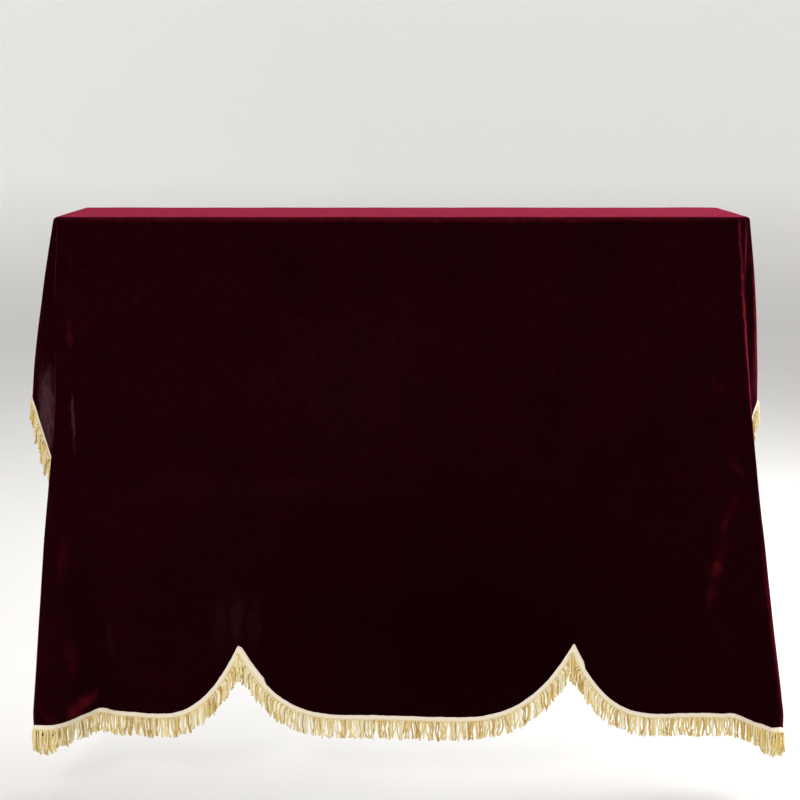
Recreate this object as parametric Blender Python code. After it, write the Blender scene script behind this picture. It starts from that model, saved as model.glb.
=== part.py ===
"""A velvet piano cover: one draped cloth with a scalloped front hem, and its bullion fringe.

Metres, +Z up. +X runs along the width, -Y is the front. The origin is the middle of the top's
underside, where the cover rests on the closed lid. The cloth is cut flat, so every point of it is
known by the column that it hangs in and by its distance along the cloth from the flat top. Each
column keeps its length as it falls, which is what makes the hem follow the folds.
"""
import math
import random
from dataclasses import dataclass

import bmesh
import bpy
import numpy as np
from mathutils import Vector

# The top, as covered by the cloth
TOP_WIDTH = 1.541
TOP_DEPTH = 0.350
CORNER_RADIUS = 0.013   # of the top's corners, seen from above
EDGE_RADIUS = 0.009     # of the cloth's bend over the top's edges
CLOTH = 0.002           # thickness of the velvet

# How far the cloth falls from the top's edge, measured along the cloth
FRONT_DROP = 1.125
LEFT_DROP = 0.393
RIGHT_DROP = 0.403
BACK_DROP = 0.100
CORNER_ROUNDING = 8.0   # how square the cut corners are: 2 is an ellipse, more is squarer

# The front slopes down to the key shelf, then falls nearly plumb
SHELF_REACH = 0.589     # along the cloth from the top's edge to the bend
SHELF_BEND = 0.040      # length of cloth in that bend
UPPER_LEAN = 0.4245     # forward run for each metre of cloth above the bend
LOWER_LEAN = 0.012      # the same, below it

# The front hem has three scallops that meet in two points
POINTS = (-0.352, 0.367)
POINT_RISE = 0.150
MIDDLE_REACH = 0.280    # how far from a point the hem still climbs, in the middle scallop
SIDE_REACH = 0.240      # the same, in the two side scallops
POINT_POWER = 3.2

# Places where the hanging folds are measured: distances along the cloth
LEVELS = (0.0, 0.20, 0.43, 0.75, 1.10)

# Folds around each front corner. turn is the direction in degrees, from 0 at the side to 90 at the
# front; beyond those, one unit is 10 mm of cloth along the front edge or, below 0, the side edge.
# lean is the share of the front's slope. The pairs (out, forward) give how far the fold stands from
# a plain fall at the levels 0.20, 0.43, 0.75 and 1.10.
#            fold, turn, lean, at 0.20, at 0.43, at 0.75, at 1.10
LEFT_FOLDS = (
    ("plain front", 119, 1.0, (0.000, 0.000), (0.000, 0.000), (0.000, 0.000), (0.000, 0.000)),
    ("hollow start", 109, 1.0, (0.000, 0.000), (0.000, 0.000), (0.000, -0.003), (0.000, -0.020)),
    ("front hollow", 103, 1.0, (0.000, 0.000), (0.000, -0.001), (0.000, -0.006), (0.000, -0.033)),
    ("hollow end", 99, 1.0, (0.000, 0.000), (0.000, -0.002), (0.000, -0.008), (0.000, -0.046)),
    ("lobe start", 96, 1.0, (0.000, 0.000), (0.000, 0.000), (0.000, 0.001), (0.000, -0.004)),
    ("lobe front", 92, 1.0, (0.000, 0.000), (0.000, 0.000), (0.000, 0.010), (0.000, 0.055)),
    ("lobe side", 90, 1.0, (-0.003, 0.000), (-0.016, -0.003), (-0.009, 0.011), (0.001, 0.063)),
    ("front ridge", 86, 1.0, (-0.002, -0.007), (-0.022, -0.016), (0.005, 0.004), (0.028, 0.048)),
    ("ridge back", 81, 0.75, (-0.004, -0.003), (-0.026, -0.004), (-0.001, 0.022), (0.031, 0.066)),
    ("inner wall", 75, 0.50, (-0.006, 0.003), (-0.034, 0.007), (-0.021, 0.030), (0.008, 0.072)),
    ("valley", 68, 0.25, (-0.009, 0.008), (-0.045, 0.016), (-0.036, 0.037), (-0.001, 0.074)),
    ("valley end", 60, 0.00, (-0.003, 0.010), (-0.023, 0.020), (-0.010, 0.045), (0.020, 0.075)),
    ("side fold front", 47, 0.0, (0.013, 0.002), (0.023, -0.002), (0.030, -0.006), (0.040, 0.004)),
    ("side ridge", 32, 0.0, (0.035, -0.009), (0.060, -0.022), (0.072, -0.040), (0.080, -0.050)),
    ("ridge tip", 19, 0.0, (0.040, -0.024), (0.077, -0.048), (0.086, -0.070), (0.090, -0.080)),
    ("ridge back", 9, 0.0, (0.021, -0.036), (0.047, -0.072), (0.060, -0.086), (0.070, -0.090)),
    ("side hollow", 2, 0.0, (0.008, -0.032), (0.014, -0.066), (0.024, -0.080), (0.034, -0.090)),
    ("hollow end", -6, 0.0, (0.004, -0.008), (0.008, -0.020), (0.010, -0.024), (0.010, -0.026)),
    ("second ridge", -13, 0.0, (0.014, 0.000), (0.032, 0.000), (0.040, 0.000), (0.040, 0.000)),
    ("side flat", -21, 0.0, (0.006, 0.000), (0.012, 0.000), (0.014, 0.000), (0.014, 0.000)),
    ("back corner", -33, 0.0, (0.004, 0.000), (0.008, 0.000), (0.008, 0.000), (0.008, 0.000)),
)
RIGHT_FOLDS = (
    ("plain front", 121, 1.0, (0.000, 0.000), (0.000, 0.000), (0.000, 0.000), (0.000, 0.000)),
    ("hollow start", 111, 1.0, (0.000, 0.000), (0.000, 0.000), (0.000, -0.003), (0.000, -0.012)),
    ("front hollow", 103, 1.0, (0.000, 0.000), (0.000, -0.001), (0.000, -0.006), (0.000, -0.022)),
    ("lobe start", 96, 1.0, (0.000, 0.000), (0.000, 0.000), (0.000, -0.001), (0.000, -0.016)),
    ("lobe front", 92.5, 1.0, (0.000, 0.000), (0.000, 0.000), (0.001, 0.006), (0.001, -0.004)),
    ("lobe side", 90, 1.0, (-0.010, -0.005), (-0.012, -0.003), (-0.003, 0.013), (0.011, 0.056)),
    ("lobe tip", 88, 1.0, (-0.012, -0.010), (-0.017, -0.009), (0.003, 0.013), (0.027, 0.087)),
    ("front ridge", 86, 1.0, (-0.012, -0.013), (-0.020, -0.016), (0.012, 0.010), (0.045, 0.075)),
    ("ridge back", 81, 0.75, (-0.011, -0.004), (-0.027, -0.002), (0.006, 0.024), (0.057, 0.092)),
    ("inner wall", 75, 0.50, (-0.010, 0.003), (-0.031, 0.009), (-0.015, 0.032), (0.040, 0.090)),
    ("valley", 68, 0.25, (-0.011, 0.009), (-0.043, 0.016), (-0.029, 0.036), (0.020, 0.080)),
    ("valley end", 60, 0.00, (-0.007, 0.012), (-0.023, 0.020), (-0.010, 0.045), (0.025, 0.075)),
    ("side fold front", 46, 0.0, (0.003, 0.002), (0.005, -0.002), (0.012, -0.006), (0.028, 0.000)),
    ("side ridge", 30, 0.0, (0.021, -0.005), (0.029, -0.020), (0.040, -0.036), (0.050, -0.046)),
    ("ridge tip", 17, 0.0, (0.024, -0.015), (0.045, -0.046), (0.055, -0.066), (0.060, -0.076)),
    ("ridge back", 8, 0.0, (0.014, -0.023), (0.024, -0.066), (0.038, -0.080), (0.044, -0.086)),
    ("side hollow", 1, 0.0, (0.006, -0.020), (0.006, -0.058), (0.014, -0.070), (0.020, -0.080)),
    ("hollow end", -7, 0.0, (0.003, -0.008), (0.005, -0.018), (0.007, -0.022), (0.007, -0.024)),
    ("second ridge", -15, 0.0, (0.016, 0.000), (0.036, 0.000), (0.042, 0.000), (0.042, 0.000)),
    ("side flat", -24, 0.0, (0.004, 0.000), (0.008, 0.000), (0.010, 0.000), (0.010, 0.000)),
    ("back corner", -33, 0.0, (0.003, 0.000), (0.006, 0.000), (0.006, 0.000), (0.006, 0.000)),
)

# Soft upright waves in the front: place across, half width, depth at the shelf bend and at the hem
#              wave, across, half_width, at_bend, at_hem
FRONT_WAVES = (
    ("left of left point", -0.445, 0.075, 0.000, 0.009),
    ("right of left point", -0.275, 0.070, 0.001, 0.008),
    ("middle left", -0.085, 0.110, 0.002, -0.005),
    ("middle right", 0.150, 0.100, -0.001, 0.005),
    ("left of right point", 0.295, 0.060, 0.000, 0.002),
    ("right of right point", 0.450, 0.080, 0.002, 0.004),
)

# The fringe: a woven header with locks of twisted strands
HEADER = 0.012          # its height
HEADER_THICKNESS = 0.0022
HEADER_GAP = 0.0007     # between the header and the velvet
CORNER_GAP = 0.0006     # between two runs of fringe
LOCK_PITCH = 0.0185
LOCK_WIDTH = 0.012
LOCK_LENGTH = 0.045
LOCK_TAPER = 0.78       # width at the tip, as a share of the width at the root
LOCK_SWELL = 1.7        # thickness at the tip, as a share of the thickness at the root
LENGTH_SPREAD = 0.10
SWING = 0.02            # how far a tip strays along the hem, as a share of its length
LEAST_FALL = 0.46       # least share of a lock's direction that points away from the hem
LEAST_SQUARE = 0.3      # least share of a column's direction that is square to the hem
FRINGE_END = 69         # turn at which the front's fringe meets the sides' fringe

# Spacing of the mesh
FRONT_STEP = 0.028
FAN_COLUMNS = 26
SIDE_COLUMNS = 9
BACK_COLUMNS = 14
BACK_FAN_COLUMNS = 7
UPPER_ROWS = 4
LOWER_ROWS = 4
FINE_STEP = 0.004       # of the sums along each column

VELVET = (0.080, 0.004, 0.014, 1.0)
GOLD = (0.640, 0.430, 0.150, 1.0)

CORE_X = TOP_WIDTH / 2 - CORNER_RADIUS      # corner of the top's straight-edged core
CORE_Y = TOP_DEPTH / 2 - CORNER_RADIUS
EDGE_START = CORNER_RADIUS - EDGE_RADIUS
EDGE_END = EDGE_START + EDGE_RADIUS * math.pi / 2


def smooth_curve(at, knots, values):
    """Points at `at` on a smooth curve through the table rows `values` at `knots`."""
    knots, values = np.asarray(knots, float), np.asarray(values, float)
    steps = np.diff(knots)[:, None]
    slopes = np.diff(values, axis=0) / steps
    inner = (slopes[1:] * steps[:-1] + slopes[:-1] * steps[1:]) / (steps[1:] + steps[:-1])
    tangents = np.vstack([slopes[:1], inner, slopes[-1:]])
    at = np.clip(at, knots[0], knots[-1])
    cell = np.clip(np.searchsorted(knots, at) - 1, 0, len(knots) - 2)
    t = ((at - knots[cell]) / steps[cell, 0])[:, None]
    start, end = values[cell], values[cell + 1]
    leave, arrive = tangents[cell] * steps[cell], tangents[cell + 1] * steps[cell]
    return (start * (1 + 2 * t) * (1 - t) ** 2 + leave * t * (1 - t) ** 2
            + end * t ** 2 * (3 - 2 * t) + arrive * t ** 2 * (t - 1))


def soft_step(t):
    """Rises smoothly from 0 to 1 as t goes from 0 to 1."""
    t = np.clip(t, 0.0, 1.0)
    return t * t * (3 - 2 * t)


def front_rise(x):
    """How far the front hem is cut away at x, across the scallops."""
    nearest = min(abs(x - point) for point in POINTS)
    reach = MIDDLE_REACH if POINTS[0] < x < POINTS[1] else SIDE_REACH
    return POINT_RISE * max(1 - nearest / reach, 0.0) ** POINT_POWER


def corner_cut(angle, side, other):
    """Length of cloth from a top corner to the rounded corner of the cut, at `angle` in degrees."""
    a = np.cos(np.radians(angle)) / side
    b = np.sin(np.radians(angle)) / other
    return (a ** CORNER_ROUNDING + b ** CORNER_ROUNDING) ** (-1 / CORNER_ROUNDING)


def front_lean(fall):
    """How far the front has run forward after `fall` metres of cloth."""
    bend = soft_step((fall - SHELF_REACH + SHELF_BEND / 2) / SHELF_BEND)
    slope = UPPER_LEAN * (1 - bend) + LOWER_LEAN * bend
    return np.concatenate([[0.0], np.cumsum((slope[1:] + slope[:-1]) / 2 * np.diff(fall))])


@dataclass
class Column:
    """One hanging line of the cloth, square to the top's edge where it leaves it."""
    core: tuple         # where it leaves the flat core of the top, and
    heading: tuple      # which way, both seen from above
    turn: float         # its place in the table of folds
    folds: tuple        # that table, or None for the plain back
    length: float       # cloth from the top's edge to the hem
    header: float = HEADER      # height of the fringe's header along it


def front_stations():
    """Places across the front, with one on each point of the hem."""
    ends = (-CORE_X, *POINTS, CORE_X)
    places = [ends[0]]
    for start, end in zip(ends, ends[1:]):
        places.extend(np.linspace(start, end, round((end - start) / FRONT_STEP) + 1)[1:])
    return places


def side_half(side):
    """Columns of one side, from the first past the front to the last before the back."""
    folds, drop = (RIGHT_FOLDS, RIGHT_DROP) if side > 0 else (LEFT_FOLDS, LEFT_DROP)
    columns = []
    for i in range(1, FAN_COLUMNS):
        turn = 90 * (1 - i / FAN_COLUMNS)
        angle = math.radians(turn)
        columns.append(Column((side * CORE_X, -CORE_Y), (side * math.cos(angle), -math.sin(angle)),
                              turn, folds, corner_cut(turn, drop, FRONT_DROP)))
    for y in np.linspace(-CORE_Y, CORE_Y, SIDE_COLUMNS):
        columns.append(Column((side * CORE_X, float(y)), (side, 0.0), -100 * (y + CORE_Y), folds,
                              drop))
    for i in range(1, BACK_FAN_COLUMNS):
        past = 90 * i / BACK_FAN_COLUMNS
        angle = math.radians(past)
        columns.append(Column((side * CORE_X, CORE_Y), (side * math.cos(angle), math.sin(angle)),
                              -200 * CORE_Y, folds, corner_cut(past, drop, BACK_DROP)))
    return columns


def ring_of_columns():
    """All columns, going round the top from the front's left end."""
    front = [Column((float(x), -CORE_Y), (0.0, -1.0), 90 + 100 * (CORE_X - abs(x)),
                    RIGHT_FOLDS if x > 0 else LEFT_FOLDS, FRONT_DROP - float(front_rise(x)))
             for x in front_stations()]
    back = [Column((float(x), CORE_Y), (0.0, 1.0), 0.0, None, BACK_DROP)
            for x in np.linspace(CORE_X, -CORE_X, BACK_COLUMNS)]
    columns = front + side_half(1) + back + side_half(-1)[::-1]
    set_headers(columns)
    return columns


def set_headers(columns):
    """The header has an even width square to the hem, so it is taller along a slanting hem."""
    hems = [np.array(col.core) + np.array(col.heading) * (col.length + CORNER_RADIUS)
            for col in columns]
    for index, col in enumerate(columns):
        heights = []
        for other in (hems[index - 1], hems[(index + 1) % len(hems)]):
            along = (other - hems[index]) / np.linalg.norm(other - hems[index])
            square = abs(col.heading[0] * along[1] - col.heading[1] * along[0])
            heights.append(HEADER / max(square, LEAST_SQUARE))
        col.header = sum(heights) / 2


def fold_offsets(col, fall):
    """Offsets (x, y) of a column from its plain fall, with its share of the front's slope."""
    if col.folds is None:
        return np.zeros((len(fall), 2))
    side = 1 if col.folds is RIGHT_FOLDS else -1
    turns = [row[1] for row in col.folds][::-1]
    values = [[row[2], *(number for pair in row[3:] for number in pair)] for row in col.folds]
    row = smooth_curve(np.array([col.turn]), turns, values[::-1])[0]
    pairs = np.vstack([[0.0, 0.0], row[1:].reshape(-1, 2)])
    offsets = smooth_curve(fall, LEVELS, pairs) * (side, -1)
    offsets[:, 1] -= min(row[0], 1.0) * front_lean(fall)
    for _, across, half_width, at_bend, at_hem in FRONT_WAVES:
        share = math.exp(-((col.core[0] - across) / half_width) ** 2)
        depth = np.interp(fall, (0, SHELF_REACH, FRONT_DROP), (0, at_bend, at_hem))
        offsets[:, 1] -= share * depth
    return offsets


def hang(col, lengths):
    """Points of one column's outer face at the given lengths of cloth from the core."""
    fall = np.arange(0.0, max(lengths) + 2 * FINE_STEP, FINE_STEP)
    fine = np.unique(np.concatenate([fall, np.linspace(EDGE_START, EDGE_END, 9)]))
    drift = np.gradient(fold_offsets(col, fine), fine, axis=0)
    over = np.cos(np.clip((fine - EDGE_START) / EDGE_RADIUS, 0, math.pi / 2))[:, None]
    run = np.array(col.heading) * over + drift * (1 - over)
    down = np.sqrt(np.clip(1 - (run ** 2).sum(axis=1), 0, 1))
    steps = np.diff(fine)[:, None]
    rates = np.column_stack([run, -down])
    path = np.vstack([[0, 0, 0], np.cumsum((rates[1:] + rates[:-1]) / 2 * steps, axis=0)])
    path += (*col.core, CLOTH)
    return np.column_stack([np.interp(lengths, fine, path[:, axis]) for axis in range(3)])


def row_lengths(col):
    """Lengths of cloth at which a column has its points, from the core to the hem."""
    edge = [0.0, *np.linspace(EDGE_START, EDGE_END, 4)]
    hem = col.length + CORNER_RADIUS
    share = soft_step((col.turn - 60) / 30)
    middle = share * (SHELF_REACH + CORNER_RADIUS) + (1 - share) * hem / 2
    bend = SHELF_BEND / 2 * share + 0.1 * (1 - share) * (hem - EDGE_END)
    upper = np.linspace(EDGE_END, middle - bend, UPPER_ROWS + 1)[1:]
    lower = np.linspace(middle + bend, hem - col.header, LOWER_ROWS + 1)
    return [*edge, *upper, *lower, hem]


def flat_material(name, colour, roughness):
    material = bpy.data.materials.new(name)
    material.use_nodes = True
    shader = material.node_tree.nodes["Principled BSDF"]
    shader.inputs["Base Color"].default_value = colour
    shader.inputs["Roughness"].default_value = roughness
    material.diffuse_color = colour
    return material


def add_object(name, mesh_builder, material):
    """A named object from a filled bmesh, with its material and smooth shading."""
    mesh = bpy.data.meshes.new(name)
    mesh_builder.normal_update()
    mesh_builder.to_mesh(mesh)
    mesh_builder.free()
    mesh.materials.append(material)
    mesh.shade_smooth()
    mesh.set_sharp_from_angle(angle=math.radians(40))
    obj = bpy.data.objects.new(name, mesh)
    bpy.context.collection.objects.link(obj)
    return obj


def outer_face(columns):
    """The cloth's outer face as a bmesh, with its vertices by column and row."""
    bm = bmesh.new()
    cores, grid = {}, []
    for col in columns:
        points = hang(col, row_lengths(col))
        if col.core not in cores:
            cores[col.core] = bm.verts.new(points[0])
        grid.append([cores[col.core], *(bm.verts.new(point) for point in points[1:])])
    bm.faces.new(list(cores.values()))
    for here, there in zip(grid, grid[1:] + grid[:1]):
        for row in range(len(here) - 1):
            corners = [here[row], here[row + 1], there[row + 1], there[row]]
            bm.faces.new(list(dict.fromkeys(corners)))
    bm.normal_update()
    return bm, grid


def cloth(columns):
    """The velvet, and the edge of its outer face that carries the fringe."""
    bm, grid = outer_face(columns)
    edge = [[(line[row].co.copy(), line[row].normal.copy()) for row in (-2, -1)] for line in grid]
    obj = add_object("cover_cloth", bm, flat_material("velvet", VELVET, 0.9))
    shell = obj.modifiers.new("thickness", "SOLIDIFY")
    shell.thickness = CLOTH
    shell.offset = -1.0
    return edge


def header_section(edge, place):
    """Corners of the header at a place along the hem: upper inner, upper outer, then lower ones."""
    index = min(int(place), len(edge) - 2)
    share = place - index
    corners = []
    for row in (0, 1):
        base = edge[index][row][0].lerp(edge[index + 1][row][0], share)
        for stand_off in (HEADER_GAP, HEADER_GAP + HEADER_THICKNESS):
            lift = edge[index][row][1].lerp(edge[index + 1][row][1], share)
            corners.append(base + lift * stand_off)
    return corners


def lock_places(edge):
    """Places along the hem of each lock's two root edges."""
    places = []
    for index in range(len(edge) - 1):
        length = (edge[index + 1][1][0] - edge[index][1][0]).length
        count = max(1, round(length / LOCK_PITCH))
        half = min(LOCK_WIDTH / length, 0.74 / count) / 2
        places += [(index + (k + 0.5) / count - half, index + (k + 0.5) / count + half)
                   for k in range(count)]
    return places


def lock_direction(upper, lower, along):
    """A lock hangs down, but on a steep hem it still points away from the cloth."""
    away = (lower - upper).normalized()
    away = (away - along * away.dot(along)).normalized()
    push = 0.0
    direction = Vector((0, 0, -1))
    while direction.dot(away) < LEAST_FALL:
        push += 0.1
        direction = (Vector((0, 0, -1)) + away * push).normalized()
    return direction


def fringe(name, edge, material, seed):
    """One run of fringe: a header strip with locks that grow out of its lower face."""
    rng = random.Random(seed)
    bm = bmesh.new()
    locks = lock_places(edge)
    first = (edge[1][1][0] - edge[0][1][0]).length
    last = (edge[-1][1][0] - edge[-2][1][0]).length
    stops = {CORNER_GAP / 2 / first, len(edge) - 1 - CORNER_GAP / 2 / last}
    stops.update(range(1, len(edge) - 1))
    stops.update(place for pair in locks for place in pair)
    stops = sorted(stops)
    roots = {pair[0] for pair in locks}
    rings = {place: [bm.verts.new(corner) for corner in header_section(edge, place)]
             for place in stops}
    for start, end in zip(stops, stops[1:]):
        a, b = rings[start], rings[end]
        bm.faces.new((a[1], a[3], b[3], b[1]))
        bm.faces.new((a[0], b[0], b[2], a[2]))
        bm.faces.new((a[0], a[1], b[1], b[0]))
        if start not in roots:
            bm.faces.new((a[2], b[2], b[3], a[3]))
            continue
        root = (a[2], b[2], b[3], a[3])
        centre = sum((vert.co for vert in root), Vector()) / 4
        along = (b[2].co - a[2].co).normalized()
        direction = lock_direction((a[0].co + b[0].co) / 2, (a[2].co + b[2].co) / 2, along)
        direction = (direction + along * rng.uniform(-SWING, SWING)).normalized()
        length = LOCK_LENGTH * (1 + rng.uniform(-LENGTH_SPREAD, LENGTH_SPREAD))
        tip = []
        for vert in root:
            spread = vert.co - centre
            wide = along * spread.dot(along)
            tip.append(bm.verts.new(centre + wide * LOCK_TAPER + (spread - wide) * LOCK_SWELL
                                    + direction * length))
        for k in range(4):
            bm.faces.new((root[k], root[(k + 1) % 4], tip[(k + 1) % 4], tip[k]))
        bm.faces.new(tip)
    a, b = rings[stops[0]], rings[stops[-1]]
    bm.faces.new((a[0], a[2], a[3], a[1]))
    bm.faces.new((b[0], b[1], b[3], b[2]))
    bmesh.ops.recalc_face_normals(bm, faces=bm.faces)
    return add_object(name, bm, material)


def split_edge(columns, edge):
    """The stretches of the cloth's edge that the three runs of fringe follow."""
    front = len(front_stations())
    corner = min(range(FAN_COLUMNS), key=lambda i: abs(columns[front + i].turn - FRINGE_END))
    side = FAN_COLUMNS + SIDE_COLUMNS - 2 - corner      # columns from there to the side's last
    right = front + corner
    left = len(columns) - 1 - corner
    return {"fringe_front": edge[left:] + edge[:right + 1],
            "fringe_right": edge[right:right + side + 1],
            "fringe_left": edge[left - side:left + 1]}


def build():
    for obj in list(bpy.data.objects):
        bpy.data.objects.remove(obj, do_unlink=True)
    columns = ring_of_columns()
    edge = cloth(columns)
    gold = flat_material("gold fringe", GOLD, 0.5)
    for seed, (name, stretch) in enumerate(split_edge(columns, edge).items()):
        fringe(name, stretch, gold, seed)


build()
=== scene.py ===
"""Looks of the velvet piano cover: the draped cloth, its woven header and the twisted gold fringe.

The cloth follows the same sizes and tables as the part's source, on a finer mesh, and carries the
creases, the nap and the sewn edge that the solids leave out. Metres, in the part's own frame.
"""

import math
import random
from dataclasses import dataclass

import bmesh
import bpy
import numpy as np
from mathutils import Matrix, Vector, noise


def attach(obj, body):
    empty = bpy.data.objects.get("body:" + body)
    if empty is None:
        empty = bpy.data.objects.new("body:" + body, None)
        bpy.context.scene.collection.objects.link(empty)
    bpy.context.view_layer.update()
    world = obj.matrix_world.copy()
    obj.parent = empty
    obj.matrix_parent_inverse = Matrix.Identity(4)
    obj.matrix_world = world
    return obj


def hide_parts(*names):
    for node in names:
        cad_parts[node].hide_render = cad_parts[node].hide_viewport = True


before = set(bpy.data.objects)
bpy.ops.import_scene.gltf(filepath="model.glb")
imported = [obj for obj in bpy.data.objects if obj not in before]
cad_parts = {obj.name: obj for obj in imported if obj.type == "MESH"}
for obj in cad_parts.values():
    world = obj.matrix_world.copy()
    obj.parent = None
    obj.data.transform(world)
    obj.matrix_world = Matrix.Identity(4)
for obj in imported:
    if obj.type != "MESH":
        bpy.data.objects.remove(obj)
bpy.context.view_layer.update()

# Sizes shared with the solids

TOP_WIDTH = 1.541
TOP_DEPTH = 0.350
CORNER_RADIUS = 0.013
EDGE_RADIUS = 0.009
CLOTH = 0.002
FRONT_DROP = 1.125
LEFT_DROP = 0.393
RIGHT_DROP = 0.403
BACK_DROP = 0.100
CORNER_ROUNDING = 8.0
SHELF_REACH = 0.589
SHELF_BEND = 0.040
UPPER_LEAN = 0.4245
LOWER_LEAN = 0.012
POINTS = (-0.352, 0.367)
POINT_RISE = 0.150
MIDDLE_REACH = 0.280
SIDE_REACH = 0.240
POINT_POWER = 3.2
LEVELS = (0.0, 0.20, 0.43, 0.75, 1.10)
TURN_RATE = 100             # beyond 90 and below 0, turns for each metre of the top's edge

#            fold, turn, lean, at 0.20, at 0.43, at 0.75, at 1.10, as pairs (out, forward)
LEFT_FOLDS = (
    ("plain front", 119, 1.0, (0.000, 0.000), (0.000, 0.000), (0.000, 0.000), (0.000, 0.000)),
    ("hollow start", 109, 1.0, (0.000, 0.000), (0.000, 0.000), (0.000, -0.003), (0.000, -0.020)),
    ("front hollow", 103, 1.0, (0.000, 0.000), (0.000, -0.001), (0.000, -0.006), (0.000, -0.033)),
    ("hollow end", 99, 1.0, (0.000, 0.000), (0.000, -0.002), (0.000, -0.008), (0.000, -0.046)),
    ("lobe start", 96, 1.0, (0.000, 0.000), (0.000, 0.000), (0.000, 0.001), (0.000, -0.004)),
    ("lobe front", 92, 1.0, (0.000, 0.000), (0.000, 0.000), (0.000, 0.010), (0.000, 0.055)),
    ("lobe side", 90, 1.0, (-0.003, 0.000), (-0.016, -0.003), (-0.009, 0.011), (0.001, 0.063)),
    ("front ridge", 86, 1.0, (-0.002, -0.007), (-0.022, -0.016), (0.005, 0.004), (0.028, 0.048)),
    ("ridge back", 81, 0.75, (-0.004, -0.003), (-0.026, -0.004), (-0.001, 0.022), (0.031, 0.066)),
    ("inner wall", 75, 0.50, (-0.006, 0.003), (-0.034, 0.007), (-0.021, 0.030), (0.008, 0.072)),
    ("valley", 68, 0.25, (-0.009, 0.008), (-0.045, 0.016), (-0.036, 0.037), (-0.001, 0.074)),
    ("valley end", 60, 0.00, (-0.003, 0.010), (-0.023, 0.020), (-0.010, 0.045), (0.020, 0.075)),
    ("side fold front", 47, 0.0, (0.013, 0.002), (0.023, -0.002), (0.030, -0.006), (0.040, 0.004)),
    ("side ridge", 32, 0.0, (0.035, -0.009), (0.060, -0.022), (0.072, -0.040), (0.080, -0.050)),
    ("ridge tip", 19, 0.0, (0.040, -0.024), (0.077, -0.048), (0.086, -0.070), (0.090, -0.080)),
    ("ridge back", 9, 0.0, (0.021, -0.036), (0.047, -0.072), (0.060, -0.086), (0.070, -0.090)),
    ("side hollow", 2, 0.0, (0.008, -0.032), (0.014, -0.066), (0.024, -0.080), (0.034, -0.090)),
    ("hollow end", -6, 0.0, (0.004, -0.008), (0.008, -0.020), (0.010, -0.024), (0.010, -0.026)),
    ("second ridge", -13, 0.0, (0.014, 0.000), (0.032, 0.000), (0.040, 0.000), (0.040, 0.000)),
    ("side flat", -21, 0.0, (0.006, 0.000), (0.012, 0.000), (0.014, 0.000), (0.014, 0.000)),
    ("back corner", -33, 0.0, (0.004, 0.000), (0.008, 0.000), (0.008, 0.000), (0.008, 0.000)),
)
RIGHT_FOLDS = (
    ("plain front", 121, 1.0, (0.000, 0.000), (0.000, 0.000), (0.000, 0.000), (0.000, 0.000)),
    ("hollow start", 111, 1.0, (0.000, 0.000), (0.000, 0.000), (0.000, -0.003), (0.000, -0.012)),
    ("front hollow", 103, 1.0, (0.000, 0.000), (0.000, -0.001), (0.000, -0.006), (0.000, -0.022)),
    ("lobe start", 96, 1.0, (0.000, 0.000), (0.000, 0.000), (0.000, -0.001), (0.000, -0.016)),
    ("lobe front", 92.5, 1.0, (0.000, 0.000), (0.000, 0.000), (0.001, 0.006), (0.001, -0.004)),
    ("lobe side", 90, 1.0, (-0.010, -0.005), (-0.012, -0.003), (-0.003, 0.013), (0.011, 0.056)),
    ("lobe tip", 88, 1.0, (-0.012, -0.010), (-0.017, -0.009), (0.003, 0.013), (0.027, 0.087)),
    ("front ridge", 86, 1.0, (-0.012, -0.013), (-0.020, -0.016), (0.012, 0.010), (0.045, 0.075)),
    ("ridge back", 81, 0.75, (-0.011, -0.004), (-0.027, -0.002), (0.006, 0.024), (0.057, 0.092)),
    ("inner wall", 75, 0.50, (-0.010, 0.003), (-0.031, 0.009), (-0.015, 0.032), (0.040, 0.090)),
    ("valley", 68, 0.25, (-0.011, 0.009), (-0.043, 0.016), (-0.029, 0.036), (0.020, 0.080)),
    ("valley end", 60, 0.00, (-0.007, 0.012), (-0.023, 0.020), (-0.010, 0.045), (0.025, 0.075)),
    ("side fold front", 46, 0.0, (0.003, 0.002), (0.005, -0.002), (0.012, -0.006), (0.028, 0.000)),
    ("side ridge", 30, 0.0, (0.021, -0.005), (0.029, -0.020), (0.040, -0.036), (0.050, -0.046)),
    ("ridge tip", 17, 0.0, (0.024, -0.015), (0.045, -0.046), (0.055, -0.066), (0.060, -0.076)),
    ("ridge back", 8, 0.0, (0.014, -0.023), (0.024, -0.066), (0.038, -0.080), (0.044, -0.086)),
    ("side hollow", 1, 0.0, (0.006, -0.020), (0.006, -0.058), (0.014, -0.070), (0.020, -0.080)),
    ("hollow end", -7, 0.0, (0.003, -0.008), (0.005, -0.018), (0.007, -0.022), (0.007, -0.024)),
    ("second ridge", -15, 0.0, (0.016, 0.000), (0.036, 0.000), (0.042, 0.000), (0.042, 0.000)),
    ("side flat", -24, 0.0, (0.004, 0.000), (0.008, 0.000), (0.010, 0.000), (0.010, 0.000)),
    ("back corner", -33, 0.0, (0.003, 0.000), (0.006, 0.000), (0.006, 0.000), (0.006, 0.000)),
)
#              wave, across, half_width, at_bend, at_hem
FRONT_WAVES = (
    ("left of left point", -0.445, 0.075, 0.000, 0.009),
    ("right of left point", -0.275, 0.070, 0.001, 0.008),
    ("middle left", -0.085, 0.110, 0.002, -0.005),
    ("middle right", 0.150, 0.100, -0.001, 0.005),
    ("left of right point", 0.295, 0.060, 0.000, 0.002),
    ("right of right point", 0.450, 0.080, 0.002, 0.004),
)
HEADER = 0.012
LEAST_SQUARE = 0.3
FRINGE_END = 69
FINE_STEP = 0.004

CORE_X = TOP_WIDTH / 2 - CORNER_RADIUS
CORE_Y = TOP_DEPTH / 2 - CORNER_RADIUS
EDGE_START = CORNER_RADIUS - EDGE_RADIUS
EDGE_END = EDGE_START + EDGE_RADIUS * math.pi / 2

# Sizes of the finer cloth

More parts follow.
